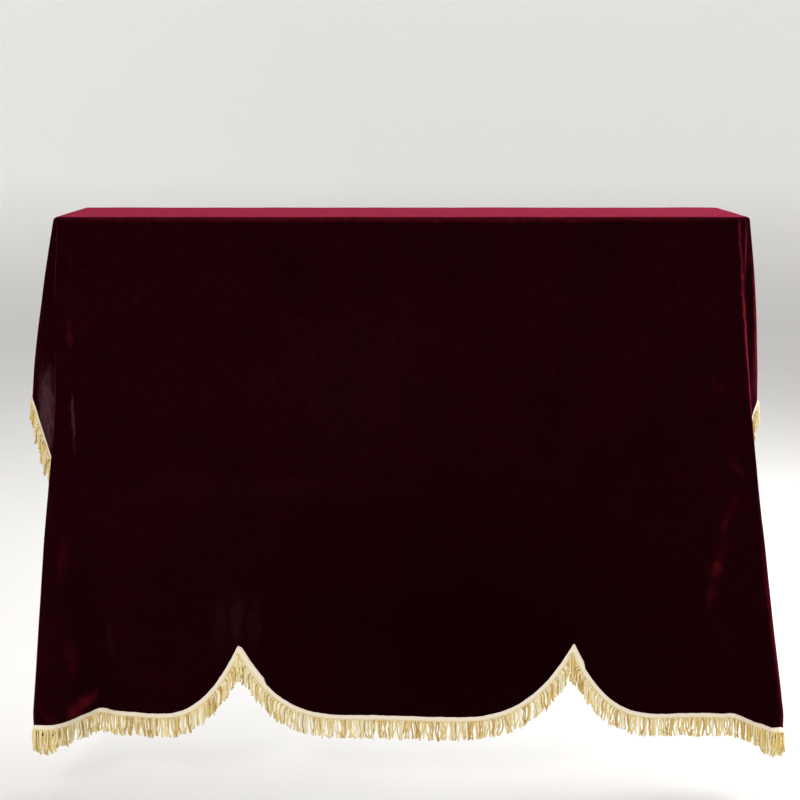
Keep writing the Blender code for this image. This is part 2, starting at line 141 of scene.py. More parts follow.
FRONT_STEP = 0.0063
FAN_COLUMNS = 52
SIDE_COLUMNS = 25
BACK_FAN_COLUMNS = 12
EDGE_ROWS = 6
UPPER_ROWS = 34
BEND_ROWS = 6
LOWER_ROWS = 36
HEADER_ROWS = 3
EDGE_SAMPLES = 9            # finer steps in the bend over the top's edge
SHELF_TURN = 60             # from this turn to the front, rows gather more and more at the bend
SIDE_BEND_SHARE = 0.1       # half of the middle rows' reach on the sides, as a share of the fall

# Soft creases in the cloth as it lies flat, seen from above with the front towards -Y: from a start to
# an end, with a half width across. height is below 0 for a trough.
#          crease, start, end, half_width, height
CREASES = (
    ("storage fold across the top", (-0.68, 0.020), (0.66, 0.034), 0.007, 0.0006),
    ("short fold on the top, left", (-0.42, 0.170), (-0.30, -0.150), 0.010, 0.0007),
    ("short fold on the top, right", (0.47, 0.168), (0.52, -0.120), 0.012, 0.0008),
    ("crease along the bend", (-0.690, -0.768), (0.060, -0.760), 0.005, 0.0012),
    ("crease under the bend", (-0.600, -0.800), (0.300, -0.790), 0.016, -0.0008),
    ("upright crease in the front", (0.020, -0.640), (0.016, -0.780), 0.006, 0.0006),
    ("upright crease, left", (-0.350, -0.620), (-0.356, -0.820), 0.007, 0.0005),
    ("pull from the left corner", (-0.735, -0.240), (-0.700, -0.560), 0.010, -0.0012),
    ("red streak beside the left ridge", (-0.714, -0.360), (-0.706, -0.500), 0.005, 0.0010),
    ("pale streak beside the left ridge", (-0.702, -0.560), (-0.692, -0.700), 0.003, 0.0014),
    ("left of the left point", (-0.602, -1.040), (-0.585, -1.240), 0.022, 0.0020),
    ("next to it", (-0.545, -1.080), (-0.540, -1.230), 0.012, 0.0015),
    ("above the left point", (-0.332, -0.980), (-0.352, -1.150), 0.034, 0.0025),
    ("above the right point", (0.380, -0.980), (0.367, -1.150), 0.022, 0.0020),
    ("right fold, upper part", (0.712, -0.780), (0.672, -0.890), 0.007, 0.0030),
    ("right fold, middle part", (0.680, -0.860), (0.660, -0.990), 0.007, 0.0030),
    ("right fold, lower part", (0.666, -0.950), (0.656, -1.120), 0.008, 0.0030),
    ("left fold, upper part", (-0.730, -0.850), (-0.714, -0.990), 0.007, 0.0020),
    ("left fold, middle part", (-0.716, -0.980), (-0.704, -1.140), 0.008, 0.0020),
    ("left fold, lower part", (-0.706, -1.120), (-0.686, -1.290), 0.012, 0.0020),
)

# Painted highlights and sheen, where light catches the ridges, folds and edges, on the same flat
# cloth, with the shade that they show.
#          place, start, end, half_width, shade, strength
PAINTED_HIGHLIGHTS = (
    ("side fold beside the left ridge", (-0.992, -0.377), (-1.205, -0.548), 0.088, "pale", 1.00),
    ("red streak beside the left ridge", (-0.724, -0.400), (-0.710, -0.485), 0.008, "crimson", 0.15),
    ("faint line above it", (-0.728, -0.230), (-0.724, -0.305), 0.007, "crimson", 0.05),
    ("pale streak beside the left ridge", (-0.708, -0.545), (-0.692, -0.710), 0.0050, "pale", 0.55),
    ("left fold, upper part", (-0.716, -0.870), (-0.727, -1.000), 0.014, "crimson", 0.07),
    ("left fold, middle part", (-0.717, -1.085), (-0.706, -1.220), 0.016, "crimson", 0.09),
    ("left fold, lower part", (-0.722, -1.300), (-0.672, -1.234), 0.022, "crimson", 0.42),
    ("left fold, beside it", (-0.684, -1.280), (-0.669, -1.236), 0.011, "crimson", 0.25),
    ("left corner of the hem", (-0.775, -1.270), (-0.715, -1.290), 0.018, "crimson", 0.09),
    ("grey streak in the left hollow", (-0.634, -1.060), (-0.630, -1.180), 0.014, "pale", 0.07),
    ("glow over the left point, first band", (-0.386, -1.000), (-0.392, -1.150), 0.020, "pale", 0.07),
    ("glow over the left point, second band", (-0.350, -0.990), (-0.356, -1.140), 0.022, "pale", 0.10),
    ("glow over the left point, third band", (-0.316, -1.005), (-0.318, -1.150), 0.020, "pale", 0.07),
    ("right fold, upper blob", (0.690, -0.836), (0.679, -0.882), 0.010, "crimson", 0.18),
    ("right fold, middle blob", (0.678, -0.925), (0.668, -0.985), 0.015, "crimson", 0.28),
    ("right fold, lower blob", (0.668, -0.975), (0.660, -1.060), 0.013, "crimson", 0.11),
    ("right fold, over the blobs", (0.712, -0.780), (0.676, -0.880), 0.014, "crimson", 0.06),
    ("right fold, between the blobs", (0.692, -0.820), (0.658, -1.080), 0.024, "crimson", 0.05),
    ("spot on the right of the bend", (0.690, -0.700), (0.722, -0.766), 0.012, "crimson", 0.10),
    ("faint spot over it", (0.658, -0.530), (0.690, -0.580), 0.018, "crimson", 0.06),
    ("right ridge", (0.739, -0.060), (0.767, -0.830), 0.0068, "crimson", 1.00),
    ("outer fold on the right", (0.780, -0.190), (1.230, -0.345), 0.046, "crimson", 0.60),
    ("right edge of the lower front", (0.778, -0.790), (0.850, -1.290), 0.020, "crimson", 0.22),
    ("front edge of the top", (-1.100, -0.176), (1.100, -0.176), 0.010, "crimson", 0.26),
    ("lighter block in the front", (-0.110, -0.300), (-0.105, -0.790), 0.240, "pale", 0.025),
    ("lighter band along the bend", (-0.780, -0.785), (0.120, -0.780), 0.045, "pale", 0.022),
)
RAGGED = (0.9, 1.6, 0.0)    # how far the noise pulls at a painted highlight, along it and across
FULL_FROM = 0.75            # nearness to its middle from which a painted highlight shows in full
# Colours of the painted highlights: crimson sheen and pale reflections.
HIGHLIGHT_COLOURS = {"crimson": (0.172, 0.010, 0.018, 1.0), "pale": (0.074, 0.030, 0.038, 1.0)}

CREASE_WANDER = 0.004       # how far a crease strays from its straight line
CREASE_WANDER_SCALE = 9
CREASE_REACH = 3            # half widths across which a crease is followed
CREASE_SWELL = 0.6          # below 1, a crease is full for more of its run
UNEVEN_SCALE = 6.0          # of the broad unevenness, per metre
UNEVEN_STRETCH = 0.6        # its scale down the front, as a share of that across
UNEVEN_HEIGHT = 0.0012
FINER_SCALE = 2.7           # of a second, finer unevenness, in units of the first
FINER_SHARE = 0.5
TOP_SHARE = 0.7             # of the unevenness that the flat top keeps, all of it upward
PUCKER_PITCH = 0.021        # of the ripples where the header is sewn on
PUCKER_HEIGHT = 0.0007
PUCKER_REACH = 0.030
PUCKER_SLANT = 0.3
PUCKER_WOBBLE_SCALE = 14
FAR_FROM_HEM = 1.0          # stands for the distance to the hem where there is no header

# Sizes of the header and fringe

TAPE_STEP = 0.003
TAPE_THICKNESS = 0.0014
TAPE_STAND_OFF = 0.0002
TAPE_PUCKER = 0.16          # spread of its thickness, as a share
TAPE_PUCKER_SCALE = 60
TAPE_WAVES = ((0.07, 35, 0.0), (0.05, 110, 4.0))    # share of its width, scale, seed
TAPE_RIB = 0.0011           # pitch of its ribs, and of its wefts
TAPE_WEFT = 0.0012
STITCH_DOWN = 0.0085        # where the sewing line runs, from the upper edge
STITCH_HALF_WIDTH = 0.00045
STITCH_PITCH = 0.0036
STITCH_SHARE = 0.7          # of the pitch that a stitch covers

STRAND_PITCH = 0.0031
STRAND_LENGTH = 0.0435
STRAND_RINGS = 19
PLY_RADIUS = 0.00112
PLY_OFFSET = 0.00096
PLY_ANGLES = (-62, 0, 62)   # of the points round the outer half of a ply, in degrees
TWIST_PITCH = 0.0110
CLUMP_PULL = 0.44           # share of its way to the middle of its clump that a tip moves
CLUMP_LEAN = 0.0050
STRAY = 0.0022              # spread of single tips along the hem
STRAND_BOW = 0.0017         # spread of how far single strands bow out half way down
BUNCH = 9                   # extra strands that hang from each point of the hem
BUNCH_PITCH = 0.0022
BUNCH_PULL = 0.003
BUNCH_LIFT = 0.010          # how far above the hem they start, before its spread
BUNCH_LIFTS = (0.3, 1.1)
BUNCH_DEPTH = 0.0022        # how far they stand in front of the others
CLUMP_SIZES = (2, 3, 3, 4, 4, 5, 6)
CLUMP_STRETCH = (0.94, 1.05)
PLACE_SPREAD = 0.0007
LAYER_DEPTHS = (-0.0007, 0.0010)    # of even and odd strands, from the middle of the tape
STRAND_STRETCH = (0.93, 1.03)
TWIST_STRETCH = (0.85, 1.15)
WILD_SHARE = 0.06           # of the strands that stray far
WILD_SHIFT = (0.004, 0.008)
WAVE_HEIGHT = (0.0006, 0.0024)
WAVE_BENDS = (5, 10)        # of one strand's wave, in radians from root to tip
DEPTH_BENDS = 0.8           # the same across the fringe, as a share
TIP_DEPTH = (-0.0022, 0.0034)
TIP_SWING = 1.6
ROOT_TUCK = 0.002           # how far a strand starts below the hem, under the tape's lip
DROP_SPEED = 2.6            # how soon a strand hangs straight down, in its own lengths
LEAST_FALL = 0.5            # least share of a strand's fall that points away from the hem
PUSH_STEP = 0.1
ANY_PHASE = (0, 6.28)
KNOT_SPREAD = (0.55, 1.35, 1.25)    # of the plies at the last rings, from the tip up
ROOT_SIZE = 0.6
TIP_SIZE = 0.75

# Past each point of the hem the tape is folded double, and so is wider upward for a short run.
#       lap, run, extra_width
LAPS = (
    ("left point", 0.099, 0.50),
    ("right point", 0.057, 0.44),
)
LAP_THICKNESS = 1.8
LAP_RISE = 6.0              # how quickly a lap widens, in its own lengths
LAP_FALL = 14.0

# Camera

PHOTO_SIZE = 800
FOCAL_PIXELS = 1513
SENSOR = 36.0               # width of the camera's sensor, in millimetres
CAMERA_PLACE = (-0.004, -3.525, 0.231)
CAMERA_DIP = 10.8           # degrees below level
FLOOR_HEIGHT = -1.246


# The drape, as in the solids

def smooth_curve(at, knots, values):
    """Points at `at` on a smooth curve through the table rows `values` at `knots`."""
    knots, values = np.asarray(knots, float), np.asarray(values, float)
    steps = np.diff(knots)[:, None]
    slopes = np.diff(values, axis=0) / steps
    inner = (slopes[1:] * steps[:-1] + slopes[:-1] * steps[1:]) / (steps[1:] + steps[:-1])
    tangents = np.vstack([slopes[:1], inner, slopes[-1:]])
    at = np.clip(at, knots[0], knots[-1])
    cell = np.clip(np.searchsorted(knots, at) - 1, 0, len(knots) - 2)
    t = ((at - knots[cell]) / steps[cell, 0])[:, None]
    start, end = values[cell], values[cell + 1]
    leave, arrive = tangents[cell] * steps[cell], tangents[cell + 1] * steps[cell]
    return (start * (1 + 2 * t) * (1 - t) ** 2 + leave * t * (1 - t) ** 2
            + end * t ** 2 * (3 - 2 * t) + arrive * t ** 2 * (t - 1))


def soft_step(t):
    """Rises smoothly from 0 to 1 as t goes from 0 to 1."""
    t = np.clip(t, 0.0, 1.0)
    return t * t * (3 - 2 * t)


def front_rise(x):
    """How far the front hem is cut away at x, across the scallops."""
    nearest = min(abs(x - point) for point in POINTS)
    reach = MIDDLE_REACH if POINTS[0] < x < POINTS[1] else SIDE_REACH
    return POINT_RISE * max(1 - nearest / reach, 0.0) ** POINT_POWER


def corner_cut(angle, side, other):
    """Length of cloth from a top corner to the rounded corner of the cut, at `angle` in degrees."""
    a = np.cos(np.radians(angle)) / side
    b = np.sin(np.radians(angle)) / other
    return (a ** CORNER_ROUNDING + b ** CORNER_ROUNDING) ** (-1 / CORNER_ROUNDING)


def front_lean(fall):
    """How far the front has run forward after `fall` metres of cloth."""
    bend = soft_step((fall - SHELF_REACH + SHELF_BEND / 2) / SHELF_BEND)
    slope = UPPER_LEAN * (1 - bend) + LOWER_LEAN * bend
    return np.concatenate([[0.0], np.cumsum((slope[1:] + slope[:-1]) / 2 * np.diff(fall))])


@dataclass
class Column:
    """One hanging line of the cloth, square to the top's edge where it leaves it."""
    core: tuple
    heading: tuple
    turn: float
    folds: tuple
    length: float
    header: float = HEADER


def front_stations():
    """Places across the front, with one on each point of the hem."""
    ends = (-CORE_X, *POINTS, CORE_X)
    places = [ends[0]]
    for start, end in zip(ends, ends[1:]):
        places.extend(np.linspace(start, end, round((end - start) / FRONT_STEP) + 1)[1:])
    return [float(x) for x in places]


def side_stations():
    return [float(y) for y in np.linspace(-CORE_Y, CORE_Y, SIDE_COLUMNS)]


def side_half(side):
    """Columns of one side, from the first past the front to the last before the back."""
    folds, drop = (RIGHT_FOLDS, RIGHT_DROP) if side > 0 else (LEFT_FOLDS, LEFT_DROP)
    columns = []
    for i in range(1, FAN_COLUMNS):
        turn = 90 * (1 - i / FAN_COLUMNS)
        angle = math.radians(turn)
        columns.append(Column((side * CORE_X, -CORE_Y), (side * math.cos(angle), -math.sin(angle)),
                              turn, folds, corner_cut(turn, drop, FRONT_DROP)))
    for y in side_stations():
        columns.append(Column((side * CORE_X, y), (side, 0.0), -TURN_RATE * (y + CORE_Y),
                              folds, drop))
    for i in range(1, BACK_FAN_COLUMNS):
        past = 90 * i / BACK_FAN_COLUMNS
        angle = math.radians(past)
        columns.append(Column((side * CORE_X, CORE_Y), (side * math.cos(angle), math.sin(angle)),
                              -TURN_RATE * 2 * CORE_Y, folds,
                              corner_cut(past, drop, BACK_DROP)))
    return columns


def ring_of_columns():
    """All columns, going round the top from the front's left end."""
    front = [Column((x, -CORE_Y), (0.0, -1.0), 90 + TURN_RATE * (CORE_X - abs(x)),
                    RIGHT_FOLDS if x > 0 else LEFT_FOLDS, FRONT_DROP - float(front_rise(x)))
             for x in front_stations()]
    back = [Column((x, CORE_Y), (0.0, 1.0), 0.0, None, BACK_DROP)
            for x in front_stations()[::-1]]
    columns = front + side_half(1) + back + side_half(-1)[::-1]
    set_headers(columns)
    return columns


def set_headers(columns):
    """The header has an even width square to the hem, so it is taller along a slanting hem."""
    hems = [np.array(col.core) + np.array(col.heading) * (col.length + CORNER_RADIUS)
            for col in columns]
    for index, col in enumerate(columns):
        heights = []
        for other in (hems[index - 1], hems[(index + 1) % len(hems)]):
            along = (other - hems[index]) / np.linalg.norm(other - hems[index])
            square = abs(col.heading[0] * along[1] - col.heading[1] * along[0])
            heights.append(HEADER / max(square, LEAST_SQUARE))
        col.header = sum(heights) / 2


def fold_offsets(col, fall):
    """Offsets (x, y) of a column from its plain fall, with its share of the front's slope."""
    if col.folds is None:
        return np.zeros((len(fall), 2))
    side = 1 if col.folds is RIGHT_FOLDS else -1
    turns = [row[1] for row in col.folds][::-1]
    values = [[row[2], *(number for pair in row[3:] for number in pair)] for row in col.folds]
    row = smooth_curve(np.array([col.turn]), turns, values[::-1])[0]
    pairs = np.vstack([[0.0, 0.0], row[1:].reshape(-1, 2)])
    offsets = smooth_curve(fall, LEVELS, pairs) * (side, -1)
    offsets[:, 1] -= min(row[0], 1.0) * front_lean(fall)
    for _, across, half_width, at_bend, at_hem in FRONT_WAVES:
        share = math.exp(-((col.core[0] - across) / half_width) ** 2)
        depth = np.interp(fall, (0, SHELF_REACH, FRONT_DROP), (0, at_bend, at_hem))
        offsets[:, 1] -= share * depth
    return offsets


def hang(col, lengths):
    """Points of one column's outer face at the given lengths of cloth from the core."""
    fall = np.arange(0.0, max(lengths) + 2 * FINE_STEP, FINE_STEP)
    fine = np.unique(np.concatenate([fall, np.linspace(EDGE_START, EDGE_END, EDGE_SAMPLES)]))
    drift = np.gradient(fold_offsets(col, fine), fine, axis=0)
    over = np.cos(np.clip((fine - EDGE_START) / EDGE_RADIUS, 0, math.pi / 2))[:, None]
    run = np.array(col.heading) * over + drift * (1 - over)
    down = np.sqrt(np.clip(1 - (run ** 2).sum(axis=1), 0, 1))
    steps = np.diff(fine)[:, None]
    rates = np.column_stack([run, -down])
    path = np.vstack([[0, 0, 0], np.cumsum((rates[1:] + rates[:-1]) / 2 * steps, axis=0)])
    path += (*col.core, CLOTH)
    return np.column_stack([np.interp(lengths, fine, path[:, axis]) for axis in range(3)])


# The finer cloth

def row_lengths(col):
    """Lengths of cloth at which a column has its points, from the core to the hem."""
    edge = [0.0, *np.linspace(EDGE_START, EDGE_END, EDGE_ROWS)]
    hem = col.length + CORNER_RADIUS
    if col.folds is None:
        return [*edge, *np.linspace(EDGE_END, hem, BACK_FAN_COLUMNS)[1:]]
    share = float(soft_step((col.turn - SHELF_TURN) / (90 - SHELF_TURN)))
    middle = share * (SHELF_REACH + CORNER_RADIUS) + (1 - share) * hem / 2
    bend = SHELF_BEND / 2 * share + SIDE_BEND_SHARE * (1 - share) * (hem - EDGE_END)
    upper = np.linspace(EDGE_END, middle - bend, UPPER_ROWS + 1)[1:]
    turned = np.linspace(middle - bend, middle + bend, BEND_ROWS + 1)[1:]
    lower = np.linspace(middle + bend, hem - col.header, LOWER_ROWS + 1)[1:]
    sewn = np.linspace(hem - col.header, hem, HEADER_ROWS + 1)[1:]
    return [*edge, *upper, *turned, *lower, *sewn]


def creases_at(x, y):
    """Height of the listed creases at a place on the flat cloth."""
    height = 0.0
    for _, start, end, half_width, top in CREASES:
        run = (end[0] - start[0], end[1] - start[1])
        length = math.hypot(*run)
        along = ((x - start[0]) * run[0] + (y - start[1]) * run[1]) / length
        across = ((x - start[0]) * run[1] - (y - start[1]) * run[0]) / length
        across += CREASE_WANDER * noise.noise(
            Vector((x * CREASE_WANDER_SCALE, y * CREASE_WANDER_SCALE, half_width * 1000)))
        if abs(across) < CREASE_REACH * half_width and 0 < along < length:
            height += (top * math.sin(math.pi * along / length) ** CREASE_SWELL
                       * math.exp(-(across / half_width) ** 2))
    return height


def relief(x, y, to_hem):
    """How far the cloth stands proud of the plain drape at a place on the flat cloth."""
    place = Vector((x * UNEVEN_SCALE, y * UNEVEN_SCALE * UNEVEN_STRETCH, 0.0))
    finer = FINER_SHARE * noise.noise(place * FINER_SCALE)
    height = UNEVEN_HEIGHT * (noise.noise(place) + finer)
    if abs(x) < TOP_WIDTH / 2 and abs(y) < TOP_DEPTH / 2:
        height = abs(height) * TOP_SHARE
    height += creases_at(x, y)
    if to_hem < PUCKER_REACH:
        strength = PUCKER_HEIGHT * (1 - to_hem / PUCKER_REACH) ** 2
        wobble = noise.noise(Vector((x * PUCKER_WOBBLE_SCALE, y * PUCKER_WOBBLE_SCALE, 3.0)))
        ripples = (x + y * PUCKER_SLANT) / PUCKER_PITCH + wobble
        height += strength * math.sin(2 * math.pi * ripples)
    return height


def stitch_rows(bm, here, there):
    """Faces between two neighbouring columns, which may have different numbers of points."""
    i = j = 0
    while i < len(here) - 1 or j < len(there) - 1:
        if i < len(here) - 1 and j < len(there) - 1 and len(here) == len(there):
            corners = [here[i], here[i + 1], there[j + 1], there[j]]
            i, j = i + 1, j + 1
        elif j == len(there) - 1 or (i < len(here) - 1
                                     and (i + 1) / len(here) <= (j + 1) / len(there)):
            corners = [here[i], here[i + 1], there[j]]
            i += 1
        else:
            corners = [here[i], there[j + 1], there[j]]
            j += 1
        corners = list(dict.fromkeys(corners))
        if len(corners) > 2:
            bm.faces.new(corners)


def build_cloth(columns):
    """The cloth as a mesh object, and its edge: points and normals above and below the header."""
    bm = bmesh.new()
    layer = bm.loops.layers.uv.new("flat")
    flat = {}
    xs, ys = front_stations(), side_stations()
    top = {}
    for x in xs:
        for y in ys:
            vert = bm.verts.new((x, y, CLOTH))
            top[x, y] = vert
            flat[vert] = (x, y, FAR_FROM_HEM)
    for x0, x1 in zip(xs, xs[1:]):
        for y0, y1 in zip(ys, ys[1:]):
            bm.faces.new((top[x0, y0], top[x1, y0], top[x1, y1], top[x0, y1]))
    grid = []
    for col in columns:
        core = (min(xs, key=lambda x: abs(x - col.core[0])),
                min(ys, key=lambda y: abs(y - col.core[1])))
        lengths = row_lengths(col)
        line = [top[core]]
        for length, point in list(zip(lengths, hang(col, lengths)))[1:]:
            vert = bm.verts.new(point)
            flat[vert] = (col.core[0] + col.heading[0] * length,
                          col.core[1] + col.heading[1] * length,
                          lengths[-1] - length if col.folds else FAR_FROM_HEM)
            line.append(vert)
        grid.append(line)
    for here, there in zip(grid, grid[1:] + grid[:1]):
        stitch_rows(bm, here, there)
    bmesh.ops.recalc_face_normals(bm, faces=bm.faces)
    bm.normal_update()
    if top[xs[len(xs) // 2], ys[len(ys) // 2]].normal.z < 0:
        bmesh.ops.reverse_faces(bm, faces=bm.faces)
        bm.normal_update()
    for vert, normal in [(vert, vert.normal.copy()) for vert in bm.verts]:
        vert.co += normal * relief(*flat[vert])
    bm.normal_update()
    edge = [[(line[row].co.copy(), line[row].normal.copy()) for row in (-1 - HEADER_ROWS, -1)]
            for line in grid]
    for face in bm.faces:
        for loop in face.loops:
            loop[layer].uv = flat[loop.vert][:2]
    obj = finish_mesh("velvet_cloth", bm)
    shell = obj.modifiers.new("thickness", "SOLIDIFY")
    shell.thickness = CLOTH
    shell.offset = -1.0
    return obj, edge


def add_mesh(name, mesh):
    mesh.shade_smooth()
    obj = bpy.data.objects.new(name, mesh)
    bpy.context.collection.objects.link(obj)
    return obj


def finish_mesh(name, bm):
    mesh = bpy.data.meshes.new(name)
    bm.to_mesh(mesh)
    bm.free()
    return add_mesh(name, mesh)


# The header and the strands

HEM_STEP = 0.002            # distance over which the hem's direction is taken


class Hem:
    """A stretch of the cloth's finished edge, read by distance along it."""

    def __init__(self, edge):
        self.points = np.array([[list(co) + list(normal) for co, normal in pair] for pair in edge])
        steps = np.linalg.norm(np.diff(self.points[:, 1, :3], axis=0), axis=1)
        self.marks = np.concatenate([[0.0], np.cumsum(steps)])
        self.length = float(self.marks[-1])

    def mark_at(self, x):
        """Distance along the hem where it crosses the point at x."""
        return float(self.marks[np.argmin(abs(self.points[:, 1, 0] - x))])

    def at(self, distance):
        """Upper point, hem point, outward direction and direction along the hem."""
        row = [[np.interp(distance, self.marks, self.points[:, k, axis]) for axis in range(6)]
               for k in (0, 1)]
        ahead, behind = (Vector([np.interp(distance + d, self.marks, self.points[:, 1, axis])
                                 for axis in range(3)]) for d in (HEM_STEP, -HEM_STEP))
        upper, lower = Vector(row[0][:3]), Vector(row[1][:3])
        normal = (Vector(row[0][3:]) + Vector(row[1][3:])).normalized()
        return upper, lower, normal, (ahead - behind).normalized()


# Section of the woven tape: place down it, from 0 at its upper edge, and height, as shares
TAPE_SECTION = ((0.0, 0.0), (0.0, 0.55), (0.05, 0.95), (0.25, 1.0), (0.5, 0.85), (0.75, 0.95),
                (0.93, 1.0), (1.0, 0.6), (1.0, 0.0))


def lap_width(distance, laps):
    """Extra width of the tape at a place along it, as a share of its own width."""
    for start, run, extra in laps:
        t = (distance - start) / run
        if 0 < t < 1:
            return extra * min(1.0, t * LAP_RISE, (1 - t) * LAP_FALL)
    return 0.0


def build_tape(name, hem, laps=()):
    """The woven header. A lap is a short run where it is folded double, and so is wider."""
    bm = bmesh.new()
    layer = bm.loops.layers.uv.new("tape")
    count = max(4, round(hem.length / TAPE_STEP))
    rings, marks = [], []
    for i in range(count + 1):
        distance = hem.length * i / count
        upper, lower, normal, _ = hem.at(distance)
        pucker = 1 + TAPE_PUCKER * noise.noise(Vector((distance * TAPE_PUCKER_SCALE, 0.0, 5.0)))
        extra = lap_width(distance, laps)
        if extra > 0:
            pucker *= LAP_THICKNESS
        wavy = sum(share * noise.noise(Vector((distance * scale, 2.0, seed)))
                   for share, scale, seed in TAPE_WAVES)
        ring = []
        for down, height in TAPE_SECTION:
            base = lower + (upper - lower) * (1 - down) * (1 + extra + wavy)
            lift = TAPE_STAND_OFF + TAPE_THICKNESS * height * pucker
            ring.append(bm.verts.new(base + normal * lift))
        rings.append(ring)
        marks.append(distance)
    for (a, u0), (b, u1) in zip(zip(rings, marks), zip(rings[1:], marks[1:])):
        for k in range(len(TAPE_SECTION)):
            n = (k + 1) % len(TAPE_SECTION)
            face = bm.faces.new((a[k], a[n], b[n], b[k]))
            here, there = TAPE_SECTION[k][0] * HEADER, TAPE_SECTION[n][0] * HEADER
            spots = ((u0, here), (u0, there), (u1, there), (u1, here))
            for loop, spot in zip(face.loops, spots):
                loop[layer].uv = spot
    bm.faces.new(rings[0][::-1])
    bm.faces.new(rings[-1])
    bmesh.ops.recalc_face_normals(bm, faces=bm.faces)
    return finish_mesh(name, bm)


def strand_path(hem, place, tip_shift, depth, length, lift, rng):
    """Centreline of one strand: it leaves the tape square, then hangs."""
    upper, lower, normal, along = hem.at(place)
    away = (lower - upper).normalized()
    away = (away - along * away.dot(along)).normalized()
    down, push = Vector((0, 0, -1)), 0.0
    while down.dot(away) < LEAST_FALL:
        push += PUSH_STEP
        down = (Vector((0, 0, -1)) + away * push).normalized()
    wave, phase, bends = rng.uniform(*WAVE_HEIGHT), rng.uniform(*ANY_PHASE), rng.uniform(*WAVE_BENDS)
    bow = rng.gauss(0, STRAND_BOW)
    side = along * tip_shift + normal * rng.uniform(*TIP_DEPTH)
    if lift:
        away = down = Vector((0, 0, -1))
    point = lower - away * (ROOT_TUCK + lift) + normal * (TAPE_STAND_OFF + depth)
    points, step = [point.copy()], length / (STRAND_RINGS - 1)
    for i in range(1, STRAND_RINGS):
        t = i / (STRAND_RINGS - 1)
        heading = away.lerp(down, float(soft_step(t * DROP_SPEED)))
        heading = (heading + side / length * (TIP_SWING * t)).normalized()
        point = point + heading * step
        across = wave * math.sin(bends * t + phase) * t + bow * math.sin(math.pi * t)
        points.append(point + along * across
                      + normal * wave * math.cos(bends * DEPTH_BENDS * t + phase) * t)
    return points, along


def strand_places(hem, bunches, rng):
    """Where the strands leave the hem: (place, pull of the tip, stretch, lift above the hem)."""
    places = []
    for mark in bunches:
        for k in range(BUNCH):
            place = mark + (k - (BUNCH - 1) / 2) * BUNCH_PITCH
            pull = rng.uniform(-BUNCH_PULL, BUNCH_PULL)
            places.append((place, pull, 1.0, BUNCH_LIFT * rng.uniform(*BUNCH_LIFTS)))
    start, end = STRAND_PITCH / 2, hem.length - STRAND_PITCH / 3
    while start < end:
        size = rng.choice(CLUMP_SIZES)
        group = [start + k * STRAND_PITCH for k in range(size)]
        group = [place for place in group if place < end]
        middle = sum(group) / len(group)
        lean, stretch = rng.uniform(-CLUMP_LEAN, CLUMP_LEAN), rng.uniform(*CLUMP_STRETCH)
        for place in group:
            pull = (middle - place) * CLUMP_PULL + lean
            places.append((place + rng.uniform(-PLACE_SPREAD, PLACE_SPREAD), pull, stretch, 0.0))
        start += size * STRAND_PITCH
    return places


def twisted_rings(points, along, turns, phase):
    """Rings of points round a strand of two plies that wind round its centreline."""
    verts = []
    for i, point in enumerate(points):
        ahead = points[min(i + 1, STRAND_RINGS - 1)] - points[max(i - 1, 0)]
        axis = ahead.normalized()
        first = (along - axis * along.dot(axis)).normalized()
        second = axis.cross(first)
        turn = phase + 2 * math.pi * turns * i / (STRAND_RINGS - 1)
        lobe = first * math.cos(turn) + second * math.sin(turn)
        cross = second * math.cos(turn) - first * math.sin(turn)
        to_end = STRAND_RINGS - 1 - i
        spread = KNOT_SPREAD[to_end] if to_end < len(KNOT_SPREAD) else 1.0
        size = ROOT_SIZE if i == 0 else TIP_SIZE if to_end == 0 else 1.0
        for side in (size, -size):
            for angle in PLY_ANGLES:
                a = math.radians(angle)
                out = PLY_OFFSET * spread + PLY_RADIUS * math.cos(a)
                verts.append(point + (lobe * out + cross * PLY_RADIUS * math.sin(a)) * side)
    return verts


def strand_faces(base, around):
    """Faces of one strand whose first point has the number `base`."""
    ring = [base + i * around for i in range(STRAND_RINGS)]
    faces = [(low + k, low + (k + 1) % around, high + (k + 1) % around, high + k)
             for low, high in zip(ring, ring[1:]) for k in range(around)]
    faces.append(tuple(ring[0] + k for k in range(around - 1, -1, -1)))
    faces.append(tuple(ring[-1] + k for k in range(around)))
    return faces


def build_strands(name, hem, seed, bunches=()):
    """All twisted strands of one run of fringe, in uneven clumps, as one mesh."""
    rng = random.Random(seed)
    verts, faces, tones = [], [], []
    around = 2 * len(PLY_ANGLES)
    for index, (place, pull, stretch, lift) in enumerate(strand_places(hem, bunches, rng)):
        shift = pull + rng.gauss(0, STRAY)
        if rng.random() < WILD_SHARE:
            shift += rng.choice((-1, 1)) * rng.uniform(*WILD_SHIFT)
        depth = TAPE_THICKNESS / 2 + LAYER_DEPTHS[index % 2] + (BUNCH_DEPTH if lift else 0.0)
        length = STRAND_LENGTH * stretch * rng.uniform(*STRAND_STRETCH)
        points, along = strand_path(hem, place, shift, depth, length, lift, rng)
        phase = rng.uniform(*ANY_PHASE)
        turns = length / (TWIST_PITCH * rng.uniform(*TWIST_STRETCH))
        faces += strand_faces(len(verts), around)
        verts += twisted_rings(points, along, turns, phase)
        tones += [rng.random()] * (STRAND_RINGS * around)
    mesh = bpy.data.meshes.new(name)
    mesh.from_pydata(verts, [], faces)
    mesh.attributes.new("tone", "FLOAT", "POINT").data.foreach_set("value", tones)
    return add_mesh(name, mesh)


def split_edge(columns, edge):
    """The stretches of the cloth's edge that the three runs of fringe follow."""
    front = len(front_stations())
    corner = min(range(FAN_COLUMNS), key=lambda i: abs(columns[front + i].turn - FRINGE_END))
    side = FAN_COLUMNS + SIDE_COLUMNS - 2 - corner      # columns from there to the side's last
    right = front + corner
    left = len(columns) - 1 - corner
    return {"front": edge[left:] + edge[:right + 1],
            "right": edge[right:right + side + 1],
            "left": edge[left - side:left + 1]}


# Materials

